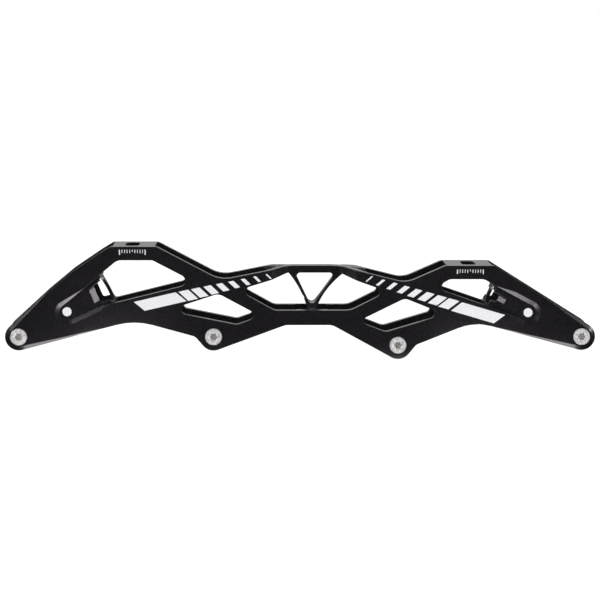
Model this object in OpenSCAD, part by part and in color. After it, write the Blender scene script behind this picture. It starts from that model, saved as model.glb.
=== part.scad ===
// Inline skate frame for three large wheels and one smaller wheel.
// X runs from heel to toe, Y across the frame and Z up. The origin lies on the
// floor, half way along the wheelbase and half way across the frame.

/* [Wheels] */
// Diameter of the three large wheels that the frame is laid out for
wheel_d = 110; // [106:1:111]
// Diameter of the smaller third wheel
small_wheel_d = 100; // [97:1:102]
// Room between a wheel's tread and the centre web
wheel_room = 1.4; // [1:0.1:2]
// Room between a wheel's tread and the curved cross webs
web_room = 1.6; // [1:0.1:3]

/* [Axles] */
// Gap between the treads of the first and second wheels
tread_gap_rear = 2; // [1:0.5:6]
// Gap between the treads of the second and third wheels
tread_gap_mid = 1.5; // [1:0.5:4]
// Gap between the treads of the third and fourth wheels
tread_gap_front = 1.5; // [1:0.5:5]
// Diameter of the axle where the wheel bearings sit
axle_d = 8; // [6:0.1:8.4]
// Diameter over the thread at the axle's far end
thread_d = 7.8; // [5.5:0.1:7.9]
// Pitch of the thread
thread_pitch = 1; // [0.75:0.05:1.25]
// Depth of the thread's grooves
thread_depth = 0.45; // [0.3:0.05:0.6]
// Diameter of the axle's head
head_d = 9.8; // [9.2:0.1:10.6]
// Height of the axle's head
head_h = 2.6; // [2:0.1:3]
// Edge break of the axle's head and tip
axle_edge = 0.5; // [0.3:0.1:0.8]
// Distance across the six lobes of the key recess
key_d = 4.5; // [3.9:0.1:5]
// Depth of the key recess
key_depth = 2.2; // [1.5:0.1:4]
// Outer diameter of the steel thread insert
insert_d = 11; // [10:0.1:12]
// Radial play of the axle in its bores
axle_play = 0.05; // [0.02:0.01:0.1]
// Radial play round the axle's head
head_play = 0.3; // [0.2:0.05:0.5]

/* [Side walls] */
// Clear width between the side walls
wall_gap = 24.4; // [24:0.1:26]
// Thickness of a side wall
wall_t = 4.3; // [3.8:0.1:5]
// Radius of the rounded lobe round each axle
boss_r = 7.9; // [7.4:0.1:8.6]
// Width of the bevel round the end lobes
bevel_w = 2.4; // [1.5:0.1:2.6]
// Depth of the bevel round the end lobes
bevel_depth = 1.3; // [0.8:0.1:1.6]
// Height of the wall under each mounting deck
rail_h = 7.8; // [6.5:0.1:9]
// Width of the beam that falls from the heel deck
heel_beam = 8; // [6.5:0.1:9]
// Height of the lowest crest behind the second axle, over the axle line
rear_crest_h = 9.8; // [9:0.1:11]
// Height of the lowest crest before the fourth axle, over the axle line
front_crest_h = 8.8; // [7.5:0.1:10]
// Height of the belly between the middle axles, over the axle line
belly_h = 6.9; // [6:0.1:7.5]
// Height of the belly beam
belly_beam = 8.5; // [7.5:0.1:9]

/* [Mounts] */
// Distance between the two boot mounting slots
mount_pitch = 195; // [190:1:200]
// Height of the heel deck over the axle line
heel_h = 52.2; // [50:0.1:55]
// Height of the toe deck over the axle line
toe_h = 41.3; // [40.5:0.1:44]
// Reach of both decks from the slot towards the middle
deck_in = 14.5; // [13:0.1:16]
// Reach of the heel deck from its slot towards the heel
heel_out = 12; // [10:0.1:13]
// Reach of the toe deck from its slot towards the toe
toe_out = 13.9; // [12:0.1:15]
// Thickness of the decks
deck_t = 5.5; // [4.5:0.1:6]
// Width of a mounting slot along the frame
slot_w = 8; // [6.5:0.1:9]
// Length of a mounting slot across the frame
slot_l = 19; // [14:0.5:22]
// Corner radius of a mounting slot
slot_r = 3; // [2:0.1:3.2]

/* [Webs] */
// Thickness of the curved cross webs
web_t = 1.7; // [1.4:0.1:3]
// Width of a cross web's blade, between its two openings
blade_w = 4; // [3:0.1:8]
// Radius of the flare at both ends of that blade
blade_r = 5; // [2:0.1:6]
// Height of a cross web's full-width ends above and below its openings
web_land = 0.8; // [0.4:0.1:1.5]
// Thickness of the centre web's two struts at the top
strut_top_t = 2.8; // [2.2:0.1:3.2]
// Thickness of the centre web's two struts at the foot
strut_foot_t = 1.7; // [1.4:0.1:2]
// Width of the centre web across the frame
spine_w = 9; // [7:0.1:11]
// Height of the spine's top over the axle line
spine_h = 40.1; // [39.5:0.1:41]
// Height of the spine itself
spine_beam = 4.1; // [3.5:0.1:5]

/* [Pockets] */
// Depth of the tapered pocket at each end
pocket_depth = 1.2; // [0.8:0.1:1.5]
// Radius of the pocket's floor round its end
pocket_r = 4.75; // [4.3:0.05:5.2]
// Flare of the pocket's walls
pocket_flare = 2.5; // [1.5:0.1:2.8]
// Further depth of the blind end of the two large windows
blind_depth = 0.5; // [0.3:0.1:0.8]
// Width of the sloping end of the opening behind the heel's cross web
heel_facet = 3.3; // [2.4:0.1:3.6]
// Width of the sloping end of the opening before the toe's cross web
toe_facet = 4.4; // [3:0.1:4.8]

/* [Hidden] */

black = "#26252a";
silver = "#c9c9cc";
steel = "#8d9096";
$fn = 64;

// Widest angle of one straight piece of a rounded corner
arc_step = 9;
// Overlap that lets a cut run clear of a face, or a piece sink into its wall
slip = 1;
half_w = wall_gap / 2 + wall_t;
// Distance that keeps one cut's edge off another's
slack = 0.2;
// Depth of the sloping sides of an opening, from the blind floor to the wall's inner face
rim_depth = wall_t - pocket_depth - blind_depth;
// Shares of that depth at which the opening's cut starts and ends, clear of both faces
rim_run = [-0.05, 1.25];

// Places of the axles, along the frame and above the floor
axle_drop = (wheel_d - small_wheel_d) / 2;
axle_z = boss_r + max(axle_drop, 0);
pitch_rear = wheel_d + tread_gap_rear;
pitch_mid = (wheel_d + small_wheel_d) / 2 + tread_gap_mid;
pitch_front = (wheel_d + small_wheel_d) / 2 + tread_gap_front;
wheelbase = pitch_rear + pitch_mid + pitch_front;
axle_1 = [-wheelbase / 2, axle_z];
axle_2 = axle_1 + [pitch_rear, 0];
axle_3 = axle_2 + [pitch_mid, -axle_drop];
axle_4 = [wheelbase / 2, axle_z];

// Clear circles of the wheels at the centre web
room_2 = wheel_d / 2 + wheel_room;
room_3 = small_wheel_d / 2 + wheel_room;
function right_of(centre, r, z) = centre.x + sqrt(r * r - pow(z - centre.y, 2));
function left_of(centre, r, z) = centre.x - sqrt(r * r - pow(z - centre.y, 2));

// Corners of the two decks
heel_x = -mount_pitch / 2;
toe_x = mount_pitch / 2;
heel_z = axle_z + heel_h;
toe_z = axle_z + toe_h;
heel_back = [heel_x - heel_out, heel_z];
heel_front = [heel_x + deck_in, heel_z];
toe_back = [toe_x - deck_in, toe_z];
toe_front = [toe_x + toe_out, toe_z];

// Centre of the spine, half way between the two middle wheels
spine_z = axle_z + spine_h;
spine_low = spine_z - spine_beam;
spine_x = (right_of(axle_2, room_2, axle_z + 28) + left_of(axle_3, room_3, axle_z + 28)) / 2;
spine_reach = 18;

// Remaining corners of the outline, each from the axle or deck that it belongs to
heel_arm = heel_back - axle_1;
crown = axle_1 + 0.641 * heel_arm + 6.23 * left(unit(heel_arm));
rear_crest = [(axle_1.x + axle_2.x) / 2 + 10.5, axle_z + rear_crest_h];
front_crest = [(axle_3.x + axle_4.x) / 2 - 9, axle_z + front_crest_h];
shoulder_2 = axle_2 + [-10.5, 0.2];
shoulder_3 = axle_3 + [10.6, 0.4];
belly_z = axle_z + belly_h;
belly_mid = (axle_2.x + axle_3.x) / 2;
belly_back = [belly_mid - 11.7, belly_z];
belly_front = [belly_mid + 15.2, belly_z];
valley_2 = axle_2 + [4.1, 33];
valley_3 = axle_3 + [4.5, 36.4];
spine_back = [spine_x - spine_reach, spine_z];
spine_front = [spine_x + spine_reach, spine_z];

// Lines and rounded paths in the side view
function unit(v) = v / norm(v);
function angle(v) = atan2(v.y, v.x);
function turned(a) = [cos(a), sin(a)];
function left(v) = [-v.y, v.x];
function line(a, b) = [a, unit(b - a)];
function level(z) = [[0, z], [1, 0]];
function inset(l, d) = [l[0] + left(l[1]) * d, l[1]];
function cross2(a, b) = a.x * b.y - a.y * b.x;
function meet(l, m) = l[0] + l[1] * cross2(m[0] - l[0], m[1]) / cross2(l[1], m[1]);
function far_meet(l, c, r) =
    let (along = (c - l[0]) * l[1])
    let (off = cross2(l[1], c - l[0]))
    l[0] + l[1] * (along + sqrt(r * r - off * off));
function arc(c, r, a, sweep) =
    let (n = max(2, ceil(abs(sweep) / arc_step)))
    [for (i = [0:n]) c + r * turned(a + sweep * i / n)];

// A path item is a corner [point, radius] or a lobe to wrap [point, radius, true]
function is_lobe(item) = len(item) == 3;
function lobe_in(c, r, from) = angle(from - c) + acos(r / norm(from - c));
function lobe_out(c, r, to) = angle(to - c) - acos(r / norm(to - c));
function leave(item, to) =
    is_lobe(item) ? item[0] + item[1] * turned(lobe_out(item[0], item[1], to)) : item[0];
function reach(item, from) =
    is_lobe(item) ? item[0] + item[1] * turned(lobe_in(item[0], item[1], from)) : item[0];
function wrap(from, item, to) =
    let (a = lobe_in(item[0], item[1], from))
    let (sweep = lobe_out(item[0], item[1], to) - a)
    arc(item[0], item[1], a, sweep < 0 ? sweep + 360 : sweep);
function corner(from, p, to, r) =
    let (u = unit(from - p))
    let (v = unit(to - p))
    let (half = acos(u * v) / 2)
    let (c = p + unit(u + v) * r / sin(half))
    let (sweep = 180 - 2 * half)
    arc(c, r, angle(p + u * r / tan(half) - c), cross2(u, v) < 0 ? sweep : -sweep);
function round_path(items) =
    let (n = len(items))
    [for (i = [0:n - 1])
        let (from = items[(i + n - 1) % n])
        let (item = items[i])
        let (to = items[(i + 1) % n])
        each is_lobe(item) ? wrap(from[0], item, to[0])
            : item[1] == 0 ? [item[0]]
            : corner(leave(from, item[0]), item[0], reach(to, item[0]), item[1])];

// Outward angle of the line that touches circle p and then circle q, each [centre, radius],
// and the path of a belt round such circles
function lean(p, q) =
    let (v = q[0] - p[0])
    angle(v) - 90 + asin((p[1] - q[1]) / norm(v));
function belt(circles, grow = []) =
    let (n = len(circles))
    [for (i = [0:n - 1])
        let (a = lean(circles[(i + n - 1) % n], circles[i]))
        let (sweep = lean(circles[i], circles[(i + 1) % n]) - a)
        let (r = circles[i][1] + (i < len(grow) ? grow[i] : 0))
        each arc(circles[i][0], r, a, sweep - 360 * floor(sweep / 360))];

// Outline of a side wall, round the lower edge from heel to toe and back along the top
outline = [
    [axle_1, boss_r, true],
    [rear_crest, 40],
    [shoulder_2, 5],
    [axle_2, boss_r, true],
    [belly_back, 8],
    [belly_front, 8],
    [axle_3, boss_r, true],
    [shoulder_3, 5],
    [front_crest, 30],
    [axle_4, boss_r, true],
    [toe_front, 2],
    [toe_back, 4],
    [valley_3, 15],
    [spine_front, 60],
    [spine_back, 60],
    [valley_2, 18],
    [heel_front, 4],
    [heel_back, 2],
    [crown, 200]];

// Edges of the large window under the heel deck. Past the cross web the window goes on as a
// blind floor with a smaller opening, whose sides slope in from the floor.
web_mid_r = wheel_d / 2 + web_room + web_t / 2;
heel_win_top = level(heel_z - rail_h);
heel_win_fall = inset(line(valley_2, heel_front), heel_beam);
heel_win_floor = line(axle_1 + [15.2, 9.8], valley_2 + [0, 1.8]);
heel_win_back = line(axle_1 + [32.7, 24.3], heel_back + [4, -rail_h]);
heel_cut = line(axle_1 + [43.3, 28.6], axle_1 + [46.8, 20.5]);
heel_cap = line(axle_1 + [29.6, 25.7], axle_1 + [34.4, 14.6]);
heel_web_top = far_meet(heel_win_back, axle_1, web_mid_r);
heel_web_low = far_meet(heel_win_floor, axle_1, web_mid_r);
heel_web_line = line(heel_web_low, heel_web_top);
heel_window = [
    [meet(heel_win_top, heel_win_fall), 3],
    [meet(heel_win_top, heel_win_back), 6],
    [heel_web_top, 0],
    [heel_web_low, 0],
    [meet(heel_win_floor, heel_win_fall), 3.5]];
heel_blind_top = inset(heel_win_back, -slack);
heel_blind_low = inset(heel_win_floor, slack);
heel_blind_end = inset(heel_web_line, -2 * slack);
heel_blind = [
    [meet(heel_blind_top, heel_blind_end), 0],
    [meet(heel_blind_top, heel_cap), 4.6],
    [meet(heel_blind_low, heel_cap), 4.6],
    [meet(heel_blind_low, heel_blind_end), 0]];
heel_lip = [2.4, 1.2];
heel_rim = [heel_facet, 0.4, 1.1];
function heel_opening(share) =
    let (cut = inset(heel_cut, -heel_rim[0] * (1 - share)))
    let (top = inset(heel_blind_top, -heel_lip[0] - heel_rim[1] * share))
    let (low = inset(heel_blind_low, heel_lip[1] + heel_rim[2] * share))
    let (end = inset(heel_web_line, -slack))
    round_path([
        [meet(top, end), 0],
        [meet(top, cut), 0.8],
        [meet(low, cut), 1.4],
        [meet(low, end), 0]]);

// Edges of the large window under the toe deck, with its blind floor and smaller opening
toe_win_top = level(toe_z - rail_h);
toe_win_rise = line(toe_back + [-6.3, -12.8], toe_back + [2.7, -rail_h]);
toe_win_floor = line(axle_4 + [-35.5, 11.2], toe_back + [0.7, -15.2]);
toe_win_front = line(axle_4 + [-27.4, 17.5], toe_front + [-6.1, -rail_h]);
toe_cut = line(axle_4 + [-47.1, 24.8], axle_4 + [-49.7, 20.2]);
toe_cap = line(axle_4 + [-33.5, 21.5], axle_4 + [-36, 10.6]);
toe_web_top = far_meet(toe_win_front, axle_4, web_mid_r);
toe_web_low = far_meet(toe_win_floor, axle_4, web_mid_r);
toe_web_line = line(toe_web_low, toe_web_top);
toe_window = [
    [meet(toe_win_top, toe_win_front), 6],
    [meet(toe_win_top, toe_win_rise), 4],
    [meet(toe_win_rise, toe_win_floor), 3],
    [toe_web_low, 0],
    [toe_web_top, 0]];
toe_blind_top = inset(toe_win_front, slack);
toe_blind_low = inset(toe_win_floor, -slack);
toe_blind_end = inset(toe_web_line, 2 * slack);
toe_blind = [
    [meet(toe_blind_top, toe_blind_end), 0],
    [meet(toe_blind_low, toe_blind_end), 0],
    [meet(toe_blind_low, toe_cap), 4.6],
    [meet(toe_blind_top, toe_cap), 4.6]];
toe_lip = [3.4, 3];
toe_rim = [toe_facet, 0.3, 0.8];
function toe_opening(share) =
    let (cut = inset(toe_cut, toe_rim[0] * (1 - share)))
    let (top = inset(toe_blind_top, toe_lip[0] + toe_rim[1] * share))
    let (low = inset(toe_blind_low, -toe_lip[1] - toe_rim[2] * share))
    let (end = inset(toe_web_line, slack))
    round_path([
        [meet(top, end), 0],
        [meet(low, end), 0],
        [meet(low, cut), 1.2],
        [meet(top, cut), 0.8]]);

// Window over the second axle, over the third axle, and the one round the centre web
lower_window_2 = [
    [axle_2 + [2.9, 25.1], 6],
    [axle_2 + [-27.2, 15.2], 3],
    [axle_2 + [13.5, 7.1], 5],
    [axle_2 + [27.2, 12], 3]];
lower_window_3 = [
    [axle_3 + [3.8, 27.4], 5],
    [axle_3 + [-23.4, 14], 2.4],
    [axle_3 + [-7.2, 7.8], 6],
    [axle_3 + [27.1, 18], 3]];
centre_window = [
    [axle_2 + [14, 27.1], 3],
    [belly_back + [-6.4, belly_beam], 8],
    [belly_front + [10.4, belly_beam], 12],
    [axle_3 + [-6.1, 31.2], 3],
    [[spine_front.x - 3, spine_low], 3],
    [[spine_back.x + 3, spine_low], 3]];

// Triangular window of the centre web, along the struts' inner faces
strut_foot_z = axle_z + 21.2;
web_side_2 = line(
    [right_of(axle_2, room_2 + strut_top_t, spine_low), spine_low],
    [right_of(axle_2, room_2 + strut_foot_t, strut_foot_z), strut_foot_z]);
web_side_3 = line(
    [left_of(axle_3, room_3 + strut_top_t, spine_low), spine_low],
    [left_of(axle_3, room_3 + strut_foot_t, strut_foot_z), strut_foot_z]);
web_window = [
    [meet(level(spine_low), web_side_3), 2],
    [meet(level(spine_low), web_side_2), 2],
    [meet(web_side_2, web_side_3), 2.6]];

// Plan of the waist, where the two walls close on the spine
waist_z = axle_z + 24;
waist_half = [
    [[-31, -half_w], 0],
    [[-24.5, -half_w], 4],
    [[-15.5, -spine_w / 2], 4],
    [[15.5, -spine_w / 2], 4],
    [[24.5, -half_w], 4],
    [[31, -half_w], 0]];
waist_plan = [for (s = [1, -1]) for (item = waist_half) [[spine_x, 0] + s * item[0], item[1]]];

// Half of a wheel's tread: depth below the crown, and half width there
tread = [[0, 1.5], [4.5, 8.5], [10.5, wall_gap / 2 + slip]];

// Side view of the centre web before the wheels' room is cut, and its section across
foot_z = belly_z + belly_beam;
foot_low = belly_z + 4;
foot_out = 6.5;
neck_z = axle_z + 21;
neck_trim = 0.75;
web_block = [
    [right_of(axle_2, room_2, spine_low) - 2, spine_low + slip],
    [right_of(axle_2, room_2, neck_z) + neck_trim, neck_z],
    [right_of(axle_2, room_2, foot_z) - foot_out, foot_z],
    [right_of(axle_2, room_2, foot_z) - foot_out, foot_low],
    [left_of(axle_3, room_3, foot_z) + foot_out, foot_low],
    [left_of(axle_3, room_3, foot_z) + foot_out, foot_z],
    [left_of(axle_3, room_3, neck_z) + slip, neck_z],
    [left_of(axle_3, room_3, spine_low) + 2, spine_low + slip]];
foot_r = 10;
web_section = [
    [[-half_w, foot_low], 0],
    [[half_w, foot_low], 0],
    [[half_w, foot_z], 0],
    [[spine_w / 2, foot_z], foot_r],
    [[spine_w / 2, spine_low + slip], 0],
    [[-spine_w / 2, spine_low + slip], 0],
    [[-spine_w / 2, foot_z], foot_r],
    [[-half_w, foot_z], 0]];

// Heights between which the two cross webs narrow to a blade
heel_gap = [heel_web_low.y + web_land, heel_web_top.y - web_land];
toe_gap = [toe_web_low.y + web_land, toe_web_top.y - web_land];

// Pockets at both ends: centre of the round end, and centre and radius of the wide end
pockets = [
    [axle_1 + [28.2, 14.2], axle_1 + [55.3, 31.1], 8.7],
    [axle_4 + [-31.3, 14], axle_4 + [-54.9, 24.9], 6.1]];

// Runs over which the bevels fade out along the wall's upper and lower edges
fade_top = 34;
fade_low = 52;
// Share of its run over which a bevel's plane goes on, past the edge
fade_past = 1.15;

// Extrudes a side view shape across the frame, from y0 to y1
module across(y0, y1) {
    translate([0, y1, 0])
        rotate([90, 0, 0])
            linear_extrude(y1 - y0)
                children();
}

// Cylinder across the frame about a point of the side view
module rod(p, d, y0, y1) {
    translate([p.x, y1, p.y])
        rotate([90, 0, 0])
            cylinder(d = d, h = y1 - y0);
}

// Repeats a feature of the near wall on the far wall
module both_walls() {
    children();
    mirror([0, 1, 0])
        children();
}

module wall_shape() {
    difference() {
        polygon(round_path(outline));
        polygon(round_path(heel_window));
        polygon(round_path(toe_window));
        polygon(round_path(lower_window_2));
        polygon(round_path(lower_window_3));
        polygon(round_path(centre_window));
    }
}

// Solid between two like convex paths of the side view, at y0 and further back at y1
module loft(path_0, y0, path_1, y1) {
    n = len(path_0);
    polyhedron(
        concat(
            [for (p = path_0) [p.x, y0, p.y]],
            [for (p = path_1) [p.x, y1, p.y]]),
        concat(
            [[for (i = [n - 1:-1:0]) i]],
            [[for (i = [0:n - 1]) n + i]],
            [for (i = [0:n - 1]) let (j = (i + 1) % n) each [[i, j, n + j], [i, n + j, n + i]]]));
}

// Bevel of the near wall along the edge from one outline corner to the end lobe, round
// the lobe, and along the edge to the next corner, fading out over the given runs
module end_bevel(c, from, to, fade_in, fade_out) {
    start = c + boss_r * turned(lobe_in(c, boss_r, from));
    end = c + boss_r * turned(lobe_out(c, boss_r, to));
    u = unit(start - from);
    v = unit(to - end);
    depth_in = left(u) * (boss_r - bevel_w * fade_past);
    depth_out = left(v) * (boss_r - bevel_w * fade_past);
    far_in = start - u * fade_in * fade_past + depth_in;
    far_out = end + v * fade_out * fade_past + depth_out;
    clear = 3 * boss_r;
    wide = belt([for (p = [far_in, c, far_out]) [p, boss_r + bevel_w]]);
    narrow = belt([for (p = [far_in, c, far_out]) [p, boss_r - 2 * bevel_w]]);
    difference() {
        across(-half_w - bevel_depth / 2, -half_w + bevel_depth * 3 / 2)
            polygon([
                far_in,
                far_in - left(u) * clear,
                c - left(u) * clear + u * clear,
                c - left(v) * clear - v * clear,
                far_out - left(v) * clear,
                far_out,
                c]);
        loft(narrow, -half_w - bevel_depth, wide, -half_w + 2 * bevel_depth);
    }
}

// Tapered pocket in the near wall, whose flare fades out towards its wide end
module end_pocket(pocket) {
    ends = [[pocket[0], pocket_r], [pocket[1], pocket[2]]];
    flare = pocket_flare * (pocket_depth + slip) / pocket_depth;
    loft(belt(ends, [flare, 0]), -half_w - slip, belt(ends), -half_w + pocket_depth);
}

// Blind floor of a large window in the near wall, and its smaller opening from the wider
// to the narrower of two like paths
module blind_end(shape, wide, narrow) {
    y = -half_w + pocket_depth + blind_depth;
    across(-half_w - slip, y)
        polygon(round_path(shape));
    loft(wide, y + rim_run[0] * rim_depth, narrow, y + rim_run[1] * rim_depth);
}

// Room for a wheel with a rounded tread
module wheel_space(c, r) {
    profile = [for (t = tread) [r - t[0], t[1]]];
    side = wall_gap / 2 + slip;
    translate([c.x, 0, c.y])
        rotate([90, 0, 0])
            rotate_extrude()
                polygon(concat(
                    [[0, -side]],
                    [for (i = [len(profile) - 1:-1:0]) [profile[i].x, -profile[i].y]],
                    profile,
                    [[0, side]]));
}

module waist_prism() {
    translate([0, 0, waist_z])
        linear_extrude(spine_z + slip - waist_z)
            polygon(round_path(waist_plan));
}

// The two side walls, drawn in at the waist
module walls() {
    difference() {
        both_walls()
            across(-half_w, -wall_gap / 2)
                wall_shape();
        difference() {
            translate([waist_plan[0][0].x, -half_w - slip, waist_z])
                cube([waist_plan[5][0].x - waist_plan[0][0].x, 2 * (half_w + slip), spine_z]);
            waist_prism();
        }
    }
}

// Top beams of both walls where they close on the spine
module waist() {
    difference() {
        intersection() {
            across(-half_w, half_w)
                wall_shape();
            waist_prism();
        }
        wheel_space(axle_2, room_2);
        wheel_space(axle_3, room_3);
    }
}

// Blade with a triangular window between the two middle wheels
module centre_web() {
    difference() {
        intersection() {
            across(-half_w, half_w)
                polygon(web_block);
            translate([spine_x - spine_reach, 0, 0])
                rotate([90, 0, 90])
                    linear_extrude(2 * spine_reach)
                        polygon(round_path(web_section));
        }
        across(-half_w, half_w)
            polygon(round_path(web_window));
        rod(axle_2, 2 * room_2, -wall_gap / 2, wall_gap / 2);
        rod(axle_3, 2 * room_3, -wall_gap / 2, wall_gap / 2);
    }
}

// Cross web concentric with the large wheel at c, on the side of x, with an opening on
// both sides of its blade over the heights of the gap
module cross_web(c, x, gap) {
    r = wheel_d / 2 + web_room;
    side = wall_gap / 2 + slip;
    back_x = min(c.x, x);
    turn = min(blade_r, (gap[1] - gap[0]) / 2 - slack);
    opening = [
        [[blade_w / 2, gap[0]], turn],
        [[side + slip, gap[0]], 0],
        [[side + slip, gap[1]], 0],
        [[blade_w / 2, gap[1]], turn]];
    difference() {
        intersection() {
            difference() {
                rod(c, 2 * (r + web_t), -side, side);
                rod(c, 2 * r, -side - slip, side + slip);
            }
            translate([back_x, -side - slip, gap[0] - blade_r])
                cube([abs(x - c.x), 2 * (side + slip), gap[1] - gap[0] + 2 * blade_r]);
        }
        both_walls()
            translate([back_x, 0, 0])
                rotate([90, 0, 90])
                    linear_extrude(abs(x - c.x))
                        polygon(round_path(opening));
    }
}

// Mounting deck between two corners, cut clear of the wheel below it
module deck(back, front, c, r) {
    side = wall_gap / 2 + slip;
    difference() {
        translate([back.x + slip, -side, back.y - deck_t])
            cube([front.x - back.x - 2 * slip, 2 * side, deck_t]);
        rod(c, 2 * r, -side - slip, side + slip);
    }
}

module mount_slot(x, z) {
    corners = [for (p = [[-1, -1], [1, -1], [1, 1], [-1, 1]])
        [[x + p.x * slot_w / 2, p.y * slot_l / 2], slot_r]];
    translate([0, 0, z - deck_t - slip])
        linear_extrude(deck_t + 2 * slip)
            polygon(round_path(corners));
}

// Bore and head seat in the near wall, and the insert's bore in the far wall
module axle_bores(c) {
    rod(c, axle_d + 2 * axle_play, -half_w - slip, 0);
    rod(c, head_d + 2 * head_play, -half_w - slip, -half_w + head_h);
    rod(c, insert_d, 0, half_w + slip);
}

module frame_body() {
    color(black)
        difference() {
            union() {
                walls();
                waist();
                centre_web();
                cross_web(axle_1, axle_2.x, heel_gap);
                cross_web(axle_4, axle_3.x, toe_gap);
                deck(heel_back, heel_front, axle_2, room_2);
                deck(toe_back, toe_front, axle_3, room_3);
            }
            mount_slot(heel_x, heel_z);
            mount_slot(toe_x, toe_z);
            both_walls() {
                end_bevel(axle_1, crown, rear_crest, fade_top, fade_low);
                end_bevel(axle_4, front_crest, toe_front, fade_low, fade_top);
                for (pocket = pockets)
                    end_pocket(pocket);
                blind_end(heel_blind, heel_opening(rim_run[0]), heel_opening(rim_run[1]));
                blind_end(toe_blind, toe_opening(rim_run[0]), toe_opening(rim_run[1]));
            }
            for (c = [axle_1, axle_2, axle_3, axle_4])
                axle_bores(c);
        }
}

// One-piece axle: head with a six-lobed key recess, bearing shaft and threaded tip
module axle(c) {
    tip_y = half_w - axle_edge;
    thread_y = wall_gap / 2;
    groove_r = thread_d / 2 - thread_depth;
    turns = floor((tip_y - thread_y - axle_edge) / thread_pitch);
    grooves = [for (i = [0:turns - 1]) each [
        [thread_d / 2, thread_y + i * thread_pitch],
        [groove_r, thread_y + (i + 0.5) * thread_pitch]]];
    profile = concat(
        [[0, -half_w],
         [head_d / 2 - axle_edge, -half_w],
         [head_d / 2, -half_w + axle_edge],
         [head_d / 2, -half_w + head_h],
         [axle_d / 2, -half_w + head_h],
         [axle_d / 2, thread_y - thread_pitch],
         [groove_r, thread_y - thread_pitch / 2]],
        grooves,
        [[thread_d / 2, tip_y - axle_edge],
         [thread_d / 2 - axle_edge, tip_y],
         [0, tip_y]]);
    color(silver)
        translate([c.x, 0, c.y])
            rotate([-90, 0, 0])
                difference() {
                    rotate_extrude()
                        polygon(profile);
                    translate([0, 0, -half_w - slip])
                        key_recess();
                }
}

// Six lobes round a core, down from the head's face
module key_recess() {
    lobe_d = key_d / 4;
    cylinder(d = key_d - lobe_d, h = key_depth + slip);
    for (i = [0:5])
        rotate([0, 0, 60 * i])
            translate([(key_d - lobe_d) / 2, 0, 0])
                cylinder(d = lobe_d, h = key_depth + slip);
}

// Steel sleeve that carries the axle's thread in the far wall
module insert(c) {
    color(steel)
        difference() {
            rod(c, insert_d, wall_gap / 2, half_w);
            rod(c, thread_d + 2 * axle_play, 0, half_w + slip);
        }
}

module rear_axle() {
    axle(axle_1);
}

module second_axle() {
    axle(axle_2);
}

module third_axle() {
    axle(axle_3);
}

module front_axle() {
    axle(axle_4);
}

module rear_insert() {
    insert(axle_1);
}

module second_insert() {
    insert(axle_2);
}

module third_insert() {
    insert(axle_3);
}

module front_insert() {
    insert(axle_4);
}

frame_body();
rear_axle();
second_axle();
third_axle();
front_axle();
rear_insert();
second_insert();
third_insert();
front_insert();
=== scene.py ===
"""Inline skate frame: a black anodised milled body, bright screw axles and white printed marks."""
import math

import bmesh
import bpy
from mathutils import Matrix, Vector


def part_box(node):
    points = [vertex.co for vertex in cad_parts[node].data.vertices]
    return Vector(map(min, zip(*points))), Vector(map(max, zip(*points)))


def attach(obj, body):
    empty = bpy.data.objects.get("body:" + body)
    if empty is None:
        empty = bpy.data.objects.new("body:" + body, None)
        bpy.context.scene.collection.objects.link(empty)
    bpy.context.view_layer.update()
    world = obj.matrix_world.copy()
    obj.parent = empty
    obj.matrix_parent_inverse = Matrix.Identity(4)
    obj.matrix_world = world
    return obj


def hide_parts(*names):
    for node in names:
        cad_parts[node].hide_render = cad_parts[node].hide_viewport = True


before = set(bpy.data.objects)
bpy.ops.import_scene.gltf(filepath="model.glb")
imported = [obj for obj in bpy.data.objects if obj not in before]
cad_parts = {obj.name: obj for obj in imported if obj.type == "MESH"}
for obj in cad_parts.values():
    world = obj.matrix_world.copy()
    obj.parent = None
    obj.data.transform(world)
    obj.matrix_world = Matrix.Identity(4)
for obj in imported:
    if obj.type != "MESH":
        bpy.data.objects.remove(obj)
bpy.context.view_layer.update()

MM = 0.001
PLACES = ("rear", "second", "third", "front")
NEAR_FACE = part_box("frame_body")[0].y


def make_active(piece):
    if bpy.context.mode != "OBJECT":
        bpy.ops.object.mode_set(mode="OBJECT")
    bpy.ops.object.select_all(action="DESELECT")
    piece.select_set(True)
    bpy.context.view_layer.objects.active = piece


def apply_modifiers(piece):
    make_active(piece)
    for modifier in list(piece.modifiers):
        bpy.ops.object.modifier_apply(modifier=modifier.name)


def hand_over(piece, body, finish):
    """Gives the piece its finish and lets it ride on a body."""
    piece.data.materials.clear()
    piece.data.materials.append(finish)
    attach(piece, body)


# Node helpers
def feed(tree, source, socket):
    """Gives a socket its value: the output of another node, or a number or colour."""
    if isinstance(source, bpy.types.NodeSocket):
        tree.links.new(source, socket)
    else:
        socket.default_value = source


def set_inputs(tree, node, sources):
    for name, source in sources.items():
        feed(tree, source, node.inputs[name])


def calculate(tree, operation, *terms):
    """The result of a Math node on its terms."""
    step = tree.nodes.new("ShaderNodeMath")
    step.operation = operation
    for term, socket in zip(terms, step.inputs):
        feed(tree, term, socket)
    return step.outputs["Value"]


def mapped(tree, value, span, levels, curve="LINEAR"):
    """A value whose span is mapped to two levels, and which keeps to them beyond the span."""
    step = tree.nodes.new("ShaderNodeMapRange")
    step.interpolation_type = curve
    set_inputs(tree, step, {"Value": value, "From Min": span[0], "From Max": span[1],
                            "To Min": levels[0], "To Max": levels[1]})
    return step.outputs["Result"]


def axes(tree, vector):
    """The outputs X, Y and Z of a vector."""
    step = tree.nodes.new("ShaderNodeSeparateXYZ")
    feed(tree, vector, step.inputs["Vector"])
    return step.outputs


def tone_between(tree, share, first, second):
    """A colour that goes from the first to the second as the share grows."""
    step = tree.nodes.new("ShaderNodeMix")
    step.data_type = "RGBA"
    set_inputs(tree, step, {"Factor": share, "A": first, "B": second})
    return step.outputs["Result"]


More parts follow.
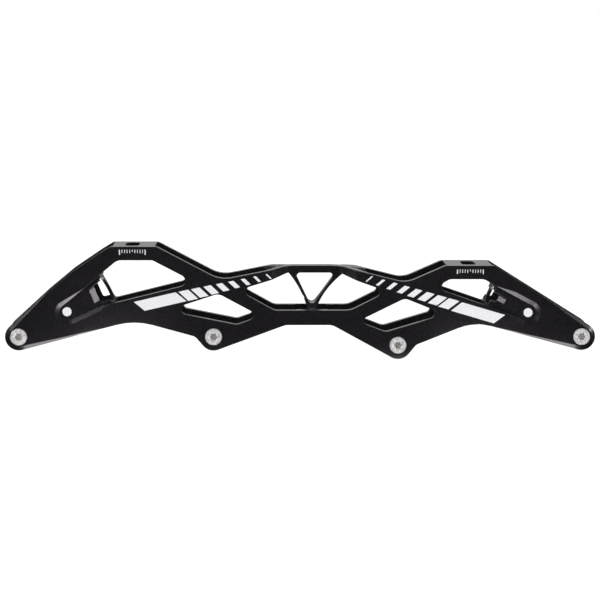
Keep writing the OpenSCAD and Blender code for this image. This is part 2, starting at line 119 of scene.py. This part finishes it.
def shader_between(tree, share, first, second):
    """A shader that goes from the first to the second as the share grows."""
    step = tree.nodes.new("ShaderNodeMixShader")
    for source, socket in zip((share, first, second), step.inputs):
        feed(tree, source, socket)
    return step.outputs["Shader"]


def white_glow(tree, kind, strength):
    """White light from a Background or an Emission node."""
    step = tree.nodes.new(kind)
    set_inputs(tree, step, {"Color": (1, 1, 1, 1), "Strength": strength})
    return step.outputs[0]


def light_path(tree):
    return tree.nodes.new("ShaderNodeLightPath").outputs


def new_finish(name):
    finish = bpy.data.materials.new(name)
    finish.use_nodes = True
    return finish, finish.node_tree, finish.node_tree.nodes["Principled BSDF"]


def object_place(tree):
    return tree.nodes.new("ShaderNodeTexCoord").outputs["Object"]


# Part of the noise's range that a grain uses
NOISE_SPAN = (0.3, 0.7)


def grain(tree, place, scale, detail, low=0, high=1):
    """Noise in object space, stretched to run from low to high. Its scale is per metre."""
    noise = tree.nodes.new("ShaderNodeTexNoise")
    set_inputs(tree, noise, {"Vector": place, "Scale": scale, "Detail": detail})
    return mapped(tree, noise.outputs["Fac"], NOISE_SPAN, (low, high))


def relief(tree, height, depth, strength):
    """The normal of a surface with fine bumps."""
    bump = tree.nodes.new("ShaderNodeBump")
    set_inputs(tree, bump, {"Height": height, "Distance": depth, "Strength": strength})
    return bump.outputs["Normal"]


# Black anodised finish
OXIDE_TONES = ((0.0022, 0.0020, 0.0025, 1), (0.0155, 0.0136, 0.0165, 1))
OXIDE_TINT = (1.0, 0.94, 0.99, 1)
OXIDE_IOR = 1.77
OXIDE_MOTTLE = dict(scale=1100, detail=3)
OXIDE_GLOSS = dict(scale=2600, detail=2, low=0.24, high=0.34)
BLAST_GRAIN = dict(scale=5200, detail=2)
BLAST_RELIEF = dict(depth=0.008 * MM, strength=0.5)
# Sheen of the oxide outside, and far less sheen on the inner wall faces as painted shade
OUTER_SHEEN = 0.5
PAINTED_SHADE_SHEEN = 0.06
INNER_FACE_SPAN = (-4 * MM, -8 * MM)


def sheen_with_painted_shade(tree):
    """The outer sheen, and a far weaker one, as painted shade, on the faces of both walls that look into
    the frame. There the place across the frame times the normal is well below zero."""
    place = tree.nodes.new("ShaderNodeTexCoord").outputs
    across = axes(tree, place["Object"])["Y"]
    facing = axes(tree, place["Normal"])["Y"]
    outward = calculate(tree, "MULTIPLY", across, facing)
    return mapped(tree, outward, INNER_FACE_SPAN, (OUTER_SHEEN, PAINTED_SHADE_SHEEN))


def black_anodised():
    """Dyed oxide over bead-blasted aluminium: a fine grain, a slight violet cast and a cloudy gloss, with
    painted shade between the walls, where the gloss is turned down."""
    finish, tree, shader = new_finish("black_anodised")
    place = object_place(tree)
    set_inputs(tree, shader, {
        "Base Color": tone_between(tree, grain(tree, place, **OXIDE_MOTTLE), *OXIDE_TONES),
        "Roughness": grain(tree, place, **OXIDE_GLOSS),
        "IOR": OXIDE_IOR,
        "Specular IOR Level": sheen_with_painted_shade(tree),
        "Specular Tint": OXIDE_TINT,
        "Normal": relief(tree, grain(tree, place, **BLAST_GRAIN), **BLAST_RELIEF),
    })
    return finish


# Turned steel finishes: dull and bright tone, range of roughness and share of bare metal
AXLE_STEEL = dict(tones=((0.54, 0.53, 0.54, 1), (0.92, 0.91, 0.92, 1)), gloss=(0.28, 0.4), metal=0.22)
SLEEVE_STEEL = dict(tones=((0.36, 0.36, 0.37, 1), (0.46, 0.46, 0.48, 1)), gloss=(0.34, 0.48), metal=1)
STEEL_MOTTLE = dict(scale=700, detail=3)
STEEL_GLOSS_GRAIN = dict(scale=1800, detail=2)
LATHE_RINGS = {"Scale": 900, "Distortion": 1.2, "Detail Scale": 3}
LATHE_RELIEF = dict(depth=0.004 * MM, strength=0.4)
# Painted shade in the key recess of an axle head: a darker tone from just below the head's face
RECESS_SHADE_TONE = (0.58, 0.53, 0.50, 1)
RECESS_RADIUS = 2.6 * MM
RECESS_START = 0.02 * MM
RECESS_DARKEST = 0.5 * MM


def recess_shade_share(tree, from_axis, head_face):
    """How far a point lies in the painted shade of the key recess: near the axis, below the head's face.
    """
    apart = axes(tree, from_axis)
    flat = tree.nodes.new("ShaderNodeCombineXYZ")
    set_inputs(tree, flat, {"X": apart["X"], "Z": apart["Z"]})
    radius = tree.nodes.new("ShaderNodeVectorMath")
    radius.operation = "LENGTH"
    feed(tree, flat.outputs["Vector"], radius.inputs[0])
    inside = calculate(tree, "LESS_THAN", radius.outputs["Value"], RECESS_RADIUS)
    sunk = mapped(tree, apart["Y"], (head_face + RECESS_START, head_face + RECESS_DARKEST), (0, 1))
    return calculate(tree, "MULTIPLY", inside, sunk)


def turned_steel(name, centre, tones, gloss, metal, head_face=None):
    """Steel turned on a lathe: fine rings round its own axis, which runs along Y. Where the face of a head
    is given, from the centre, the key recess behind it gets a darker tone as painted shade."""
    finish, tree, shader = new_finish(name)
    place = object_place(tree)
    to_axis = tree.nodes.new("ShaderNodeMapping")
    set_inputs(tree, to_axis, {"Vector": place, "Location": -centre})
    from_axis = to_axis.outputs["Vector"]
    rings = tree.nodes.new("ShaderNodeTexWave")
    rings.wave_type = "RINGS"
    rings.rings_direction = "Y"
    set_inputs(tree, rings, {"Vector": from_axis, **LATHE_RINGS})
    tone = tone_between(tree, grain(tree, place, **STEEL_MOTTLE), *tones)
    # Painted shade darkens the key recess
    if head_face is not None:
        tone = tone_between(tree, recess_shade_share(tree, from_axis, head_face), tone, RECESS_SHADE_TONE)
    low, high = gloss
    set_inputs(tree, shader, {
        "Base Color": tone,
        "Roughness": grain(tree, place, low=low, high=high, **STEEL_GLOSS_GRAIN),
        "Metallic": metal,
        "Normal": relief(tree, rings.outputs["Fac"], **LATHE_RELIEF),
    })
    return finish


# White ink finish
INK_TONES = ((0.80, 0.79, 0.83, 1), (0.90, 0.89, 0.92, 1))
INK_MOTTLE = dict(scale=1500, detail=2)
INK_GLOSS = dict(scale=2500, detail=2, low=0.45, high=0.6)
INK_GRAIN = dict(scale=4000, detail=1)
INK_RELIEF = dict(depth=0.004 * MM, strength=0.3)


def white_ink():
    """Screen-printed white: almost even, with a faint mottling."""
    finish, tree, shader = new_finish("white_ink")
    place = object_place(tree)
    set_inputs(tree, shader, {
        "Base Color": tone_between(tree, grain(tree, place, **INK_MOTTLE), *INK_TONES),
        "Roughness": grain(tree, place, **INK_GLOSS),
        "Normal": relief(tree, grain(tree, place, **INK_GRAIN), **INK_RELIEF),
    })
    return finish


# Milled and turned pieces
BODY_EDGE = 0.11 * MM
EDGE_STEPS = 2
MERGE_DISTANCE = 0.02 * MM
SHARP_FROM = math.radians(24)
SMOOTH_UP_TO = math.radians(30)


def broken_edges(name, node, edge=0):
    """A piece that stands for a node, with its curved faces smooth and, where an edge is given, its sharp
    edges broken."""
    piece = bpy.data.objects.new(name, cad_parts[node].data.copy())
    bpy.context.scene.collection.objects.link(piece)
    make_active(piece)
    bpy.ops.object.mode_set(mode="EDIT")
    bpy.ops.mesh.select_all(action="SELECT")
    bpy.ops.mesh.remove_doubles(threshold=MERGE_DISTANCE)
    if edge:
        bpy.ops.mesh.select_all(action="DESELECT")
        bpy.ops.mesh.select_mode(type="EDGE")
        bpy.ops.mesh.edges_select_sharp(sharpness=SHARP_FROM)
        bpy.ops.mesh.bevel(offset=edge, segments=EDGE_STEPS, profile=0.5, clamp_overlap=False)
    bpy.ops.object.mode_set(mode="OBJECT")
    bpy.ops.object.shade_smooth_by_angle(angle=SMOOTH_UP_TO)
    even = piece.modifiers.new("even_shading", "WEIGHTED_NORMAL")
    even.keep_sharp = True
    apply_modifiers(piece)
    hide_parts(node)
    return piece


def milled_body():
    body = broken_edges("milled_body", "frame_body", BODY_EDGE)
    hand_over(body, "frame", black_anodised())
    return body


def node_centre(node):
    low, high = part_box(node)
    return (low + high) / 2


def screw_axle(place):
    node = place + "_axle"
    axle = broken_edges(place + "_screw_axle", node)
    centre = node_centre(node)
    head_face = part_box(node)[0].y - centre.y
    finish = turned_steel(place + "_bright_steel", centre, head_face=head_face, **AXLE_STEEL)
    hand_over(axle, node, finish)


def thread_sleeve(place):
    node = place + "_insert"
    sleeve = broken_edges(place + "_thread_sleeve", node)
    finish = turned_steel(place + "_sleeve_steel", node_centre(node), **SLEEVE_STEEL)
    hand_over(sleeve, "frame", finish)


# Printed marks: x and z on the near wall, in millimetres
STRIPE_COUNT = 8
REAR_STRIPES = dict(start=(-70.56, 39.16), step=(7.14, 1.437), width=(5.6, 0.95), slope=0.225,
                    slant=((5.65, -5.25), (2.65, -2.65)))
FRONT_STRIPES = dict(start=(85.23, 35.44), step=(-6.40, 1.82), width=(6.0, 0.86), slope=-0.285,
                     slant=((-6.3, -4.8), (-3.6, -3.05)))
REAR_PLATE = dict(start=(-96.2, 33.3), width=24.0, slope=0.233, slant=(6.25, -5.15))
FRONT_PLATE = dict(start=(92.77, 33.05), width=24.98, slope=-0.296, slant=(-6.44, -4.86))
TICK_COUNT = 11
TICK_WIDTH = 0.38
END_TICK_WIDTH = 0.56
REAR_SCALE = dict(first=-104.2, last=-89.5, top=63.45, ends=3.0, others=1.95, middle=1.2)
FRONT_SCALE = dict(first=89.88, last=104.76, top=52.07, ends=2.6, others=2.0, middle=1.05)
DISC_DIAMETER = 5.2
DISC_CORNERS = 56
REAR_DISC = (-134.6, 27.5)
FRONT_DISC = (131.2, 26.9)

# Ink film: drawn before the near wall, then laid on it
INK_FILM = 0.03 * MM
FILM_LIFT = INK_FILM / 10
FILM_CUTS = 5
DRAWN_AT = NEAR_FACE - 1 * MM
UPRIGHT = (math.pi / 2, 0, 0)


def between(first, last, share):
    return first + (last - first) * share


def select_corners(chosen):
    """Selects the corners of the patch in hand that are chosen by their place."""
    bpy.ops.mesh.select_all(action="DESELECT")
    mesh = bmesh.from_edit_mesh(bpy.context.edit_object.data)
    for vertex in mesh.verts:
        vertex.select = not vertex.hide and chosen(vertex.co)
    mesh.select_flush(True)
    bmesh.update_edit_mesh(bpy.context.edit_object.data)


def add_patch(start, width, slope, slant):
    """Adds a slanted patch just before the near wall: a plane of its width and height, whose lower side is
    moved along and whose right side is raised to the slope. Finished patches are hidden meanwhile."""
    height = -slant[1]
    middle = Vector((start[0] + width / 2, 0, start[1] - height / 2)) * MM
    middle.y = DRAWN_AT
    lean = slant[0] * MM
    bpy.ops.mesh.primitive_plane_add(size=MM, location=middle, rotation=UPRIGHT)
    bpy.ops.transform.resize(value=(width, 1, height), center_override=middle)
    select_corners(lambda corner: corner.z < middle.z)
    bpy.ops.transform.translate(value=(lean, 0, 0))
    select_corners(lambda corner: corner.x - (lean if corner.z < middle.z else 0) > middle.x)
    bpy.ops.transform.translate(value=(0, 0, slope * width * MM))
    bpy.ops.mesh.select_all(action="SELECT")
    bpy.ops.mesh.hide()


def start_print(name):
    """An empty film in edit mode, ready for its patches."""
    bpy.ops.mesh.primitive_plane_add(size=MM)
    film = bpy.context.object
    film.name = name
    bpy.ops.object.mode_set(mode="EDIT")
    bpy.ops.mesh.delete(type="VERT")
    return film


def lay_print(film, body, ink):
    """Lays the film on the body along Y, so that it follows the wall's curve, and gives it a thickness."""
    bpy.ops.mesh.reveal()
    bpy.ops.mesh.select_all(action="SELECT")
    bpy.ops.mesh.subdivide(number_cuts=FILM_CUTS)
    bpy.ops.object.mode_set(mode="OBJECT")
    wrap = film.modifiers.new("on_the_wall", "SHRINKWRAP")
    wrap.wrap_method = "PROJECT"
    wrap.use_project_y = True
    wrap.use_positive_direction = True
    wrap.target = body
    wrap.offset = FILM_LIFT
    layer = film.modifiers.new("film", "SOLIDIFY")
    layer.thickness = INK_FILM
    layer.offset = 1
    apply_modifiers(film)
    hand_over(film, "frame", ink)


def stripe_band(name, band, plate, body, ink):
    """A printed plate and the stripes that run on from it, narrower and shorter one after the other."""
    make_active(body)
    film = start_print(name)
    add_patch(**plate)
    for n in range(STRIPE_COUNT):
        share = n / (STRIPE_COUNT - 1)
        start = Vector(band["start"]) + n * Vector(band["step"])
        slant = between(Vector(band["slant"][0]), Vector(band["slant"][1]), share)
        add_patch(start, between(*band["width"], share), band["slope"], slant)
    lay_print(film, body, ink)


def tick_scale(name, scale, body, ink):
    """Ticks under a mounting slot, to set the boot by: long at both ends and short in the middle."""
    make_active(body)
    film = start_print(name)
    lengths = {0: scale["ends"], TICK_COUNT // 2: scale["middle"], TICK_COUNT - 1: scale["ends"]}
    for n in range(TICK_COUNT):
        x = between(scale["first"], scale["last"], n / (TICK_COUNT - 1))
        width = END_TICK_WIDTH if n in (0, TICK_COUNT - 1) else TICK_WIDTH
        length = lengths.get(n, scale["others"])
        add_patch((x - width / 2, scale["top"]), width, 0, (0, -length))
    lay_print(film, body, ink)


def printed_disc(name, place, body, ink):
    """A plain round mark in the blind end of a pocket."""
    make_active(body)
    film = start_print(name)
    centre = Vector((place[0] * MM, DRAWN_AT, place[1] * MM))
    bpy.ops.mesh.primitive_circle_add(vertices=DISC_CORNERS, radius=DISC_DIAMETER / 2 * MM,
                                      fill_type="NGON", location=centre, rotation=UPRIGHT)
    lay_print(film, body, ink)


# Studio room: its light on colours, and how bright gloss sees it, by the Y and the Z of its direction
ROOM_LIGHT = 0.55
DEPTH_SPAN = (-0.55, 0.1)
DEPTH_LEVELS = (0.06, 1.0)
HEIGHT_LEVELS = ((0.04, 0.12), (0.2, 0.4), (0.5, 0.45), (0.8, 0.1))


def studio_world():
    """White to the camera. To gloss, bright behind and beside the frame, and dim before and above it."""
    world = bpy.data.worlds.new("studio")
    bpy.context.scene.world = world
    world.use_nodes = True
    tree = world.node_tree
    tree.nodes.clear()
    path = light_path(tree)
    direction = axes(tree, tree.nodes.new("ShaderNodeTexCoord").outputs["Generated"])
    depth = mapped(tree, direction["Y"], DEPTH_SPAN, DEPTH_LEVELS, "SMOOTHSTEP")
    height = tree.nodes.new("ShaderNodeValToRGB")
    stops = height.color_ramp.elements
    height.color_ramp.interpolation = "EASE"
    for place, level in HEIGHT_LEVELS:
        stops.new(place).color = (level, level, level, 1)
    stops.remove(stops[0])
    stops.remove(stops[-1])
    feed(tree, direction["Z"], height.inputs["Fac"])
    brightness = calculate(tree, "MULTIPLY", depth, height.outputs["Color"])
    light = white_glow(tree, "ShaderNodeBackground", ROOM_LIGHT)
    room = white_glow(tree, "ShaderNodeBackground", brightness)
    white = white_glow(tree, "ShaderNodeBackground", 1)
    lit = shader_between(tree, path["Is Glossy Ray"], light, room)
    clear = calculate(tree, "MAXIMUM", path["Is Camera Ray"], path["Is Transmission Ray"])
    output = tree.nodes.new("ShaderNodeOutputWorld")
    feed(tree, shader_between(tree, clear, lit, white), output.inputs["Surface"])


# Floor: its look, and the half widths between which it goes from dim to full in gloss
FLOOR_SIZE = 6
FLOOR_TONE = (0.9, 0.9, 0.9, 1)
FLOOR_ROUGHNESS = 0.9
FLOOR_WHITE = 1.24
FLOOR_WHITE_SHARE = 0.7
GLOSS_MIDDLE = 0.0165
GLOSS_ACROSS = (0.058, 0.03)
GLOSS_ALONG = (0.164, 0.156)
GLOSS_LEVELS = (0.03, 1.0)


def pale_floor():
    """A pale floor that keeps the frame's soft shadow and is white where nothing shades it. To gloss it is
    bright only under the frame, so that the walls stay black."""
    bpy.ops.mesh.primitive_plane_add(size=FLOOR_SIZE)
    floor = bpy.context.object
    floor.name = "floor"
    finish, tree, shader = new_finish("pale_floor")
    set_inputs(tree, shader, {
        "Base Color": FLOOR_TONE,
        "Roughness": FLOOR_ROUGHNESS,
        "Specular IOR Level": 0,
    })
    path = light_path(tree)
    white = white_glow(tree, "ShaderNodeEmission", FLOOR_WHITE)
    clear = calculate(tree, "MULTIPLY", path["Is Camera Ray"], FLOOR_WHITE_SHARE)
    seen = shader_between(tree, clear, shader.outputs["BSDF"], white)
    place = axes(tree, object_place(tree))
    across = calculate(tree, "ABSOLUTE", calculate(tree, "SUBTRACT", place["Y"], GLOSS_MIDDLE))
    along = calculate(tree, "ABSOLUTE", place["X"])
    under = calculate(tree, "MULTIPLY", mapped(tree, across, GLOSS_ACROSS, GLOSS_LEVELS, "SMOOTHSTEP"),
                      mapped(tree, along, GLOSS_ALONG, GLOSS_LEVELS, "SMOOTHSTEP"))
    mirrored = white_glow(tree, "ShaderNodeEmission", under)
    whole = shader_between(tree, path["Is Glossy Ray"], seen, mirrored)
    feed(tree, whole, tree.nodes["Material Output"].inputs["Surface"])
    floor.data.materials.append(finish)


# Lamps on the floor
FLOOR_LAMP_HEIGHT = 0.0015


def over_floor(x, y):
    """Place and aim of a lamp just over the floor that shines straight up."""
    return (x, y, FLOOR_LAMP_HEIGHT), (x, y, 1)


# Lamps: name, place, aim, size, radiance and what takes their light
MIDDLE = (0, 0, 0.03)
HEEL = (-0.11, 0, 0.03)
TOE = (0.11, 0, 0.03)
ON_ALL = dict(in_gloss=True, on_colour=True)
ON_COLOUR = dict(in_gloss=False, on_colour=True)
IN_GLOSS = dict(in_gloss=True, on_colour=False)
LAMPS = (
    ("under_light", *over_floor(0, 0.0165), (0.318, 0.063), 2.6, IN_GLOSS),
    ("heel_facet_glint", *over_floor(-0.138, -0.0225), (0.042, 0.015), 2.6, IN_GLOSS),
    ("toe_facet_glint", *over_floor(0.138, -0.0225), (0.042, 0.015), 2.6, IN_GLOSS),
    ("left_softbox", (-0.83, -0.68, 0.36), MIDDLE, (0.42, 0.36), 5.0, ON_COLOUR),
    ("right_softbox", (0.96, -0.5, 0.24), MIDDLE, (0.62, 0.5), 4.4, ON_COLOUR),
    ("heel_card", (0.87, -0.37, 0.36), HEEL, (0.18, 0.18), 13.0, IN_GLOSS),
    ("toe_card", (-0.68, -0.65, 0.43), TOE, (0.17, 0.17), 14.0, IN_GLOSS),
    ("back_softbox", (0, 1.2, 0.42), (0, 0, 0.05), (1.6, 0.4), 0.7, ON_ALL),
    ("top_softbox", (0, 0.2, 1.4), (0, 0, 0), (1.4, 1.0), 1.2, ON_COLOUR),
    ("front_softbox", (-0.4, -1.8, 1.0), (0, 0, 0), (1.2, 1.0), 1.05, ON_COLOUR),
    ("heel_glint", *over_floor(-0.106, -0.035), (0.044, 0.026), 5.8, IN_GLOSS),
    ("toe_glint", *over_floor(0.104, -0.035), (0.04, 0.026), 4.2, IN_GLOSS),
)


def lamp(name, place, aim, size, radiance, in_gloss, on_colour):
    """A rectangular soft lamp that shines from its place to its aim, on gloss, on colours or on both."""
    bpy.ops.object.light_add(type="AREA", location=place)
    light = bpy.context.object
    light.name = name
    light.data.shape = "RECTANGLE"
    light.data.size, light.data.size_y = size
    light.data.energy = radiance * math.pi * size[0] * size[1]
    light.rotation_euler = (Vector(aim) - Vector(place)).to_track_quat("-Z", "Y").to_euler()
    light.visible_camera = False
    light.visible_glossy = in_gloss
    light.visible_diffuse = on_colour


# Camera: turn to the side, tilt down and roll in radians, lens and sensor in millimetres
CAMERA_PLACE = (-0.02976, -1.15051, 0.17498)
CAMERA_YAW = 0.0256
CAMERA_PITCH = 0.1233
CAMERA_ROLL = 0.0029
CAMERA_LENS = 119.21
CAMERA_SENSOR = 36
CAMERA_NEAREST = 0.01


def photo_camera():
    """The photograph's camera: its turn to the side, its tilt down and its small roll."""
    bpy.ops.object.camera_add()
    camera = bpy.context.object
    camera.data.lens = CAMERA_LENS
    camera.data.sensor_width = CAMERA_SENSOR
    camera.data.clip_start = CAMERA_NEAREST
    right = Vector((math.cos(CAMERA_YAW), -math.sin(CAMERA_YAW), 0))
    level = Vector((math.sin(CAMERA_YAW), math.cos(CAMERA_YAW), 0))
    forward = math.cos(CAMERA_PITCH) * level - math.sin(CAMERA_PITCH) * Vector((0, 0, 1))
    up = right.cross(forward)
    rolled_right = math.cos(CAMERA_ROLL) * right + math.sin(CAMERA_ROLL) * up
    rolled_up = math.cos(CAMERA_ROLL) * up - math.sin(CAMERA_ROLL) * right
    turn = Matrix((rolled_right, rolled_up, -forward)).transposed().to_4x4()
    camera.matrix_world = Matrix.Translation(CAMERA_PLACE) @ turn
    bpy.context.scene.camera = camera


body = milled_body()
for place in PLACES:
    screw_axle(place)
    thread_sleeve(place)
ink = white_ink()
stripe_band("rear_stripes", REAR_STRIPES, REAR_PLATE, body, ink)
stripe_band("front_stripes", FRONT_STRIPES, FRONT_PLATE, body, ink)
tick_scale("heel_scale", REAR_SCALE, body, ink)
tick_scale("toe_scale", FRONT_SCALE, body, ink)
printed_disc("rear_disc", REAR_DISC, body, ink)
printed_disc("front_disc", FRONT_DISC, body, ink)

pale_floor()
studio_world()
for name, place, aim, size, radiance, effect in LAMPS:
    lamp(name, place, aim, size, radiance, **effect)
photo_camera()
bpy.context.scene.view_settings.view_transform = "Standard"
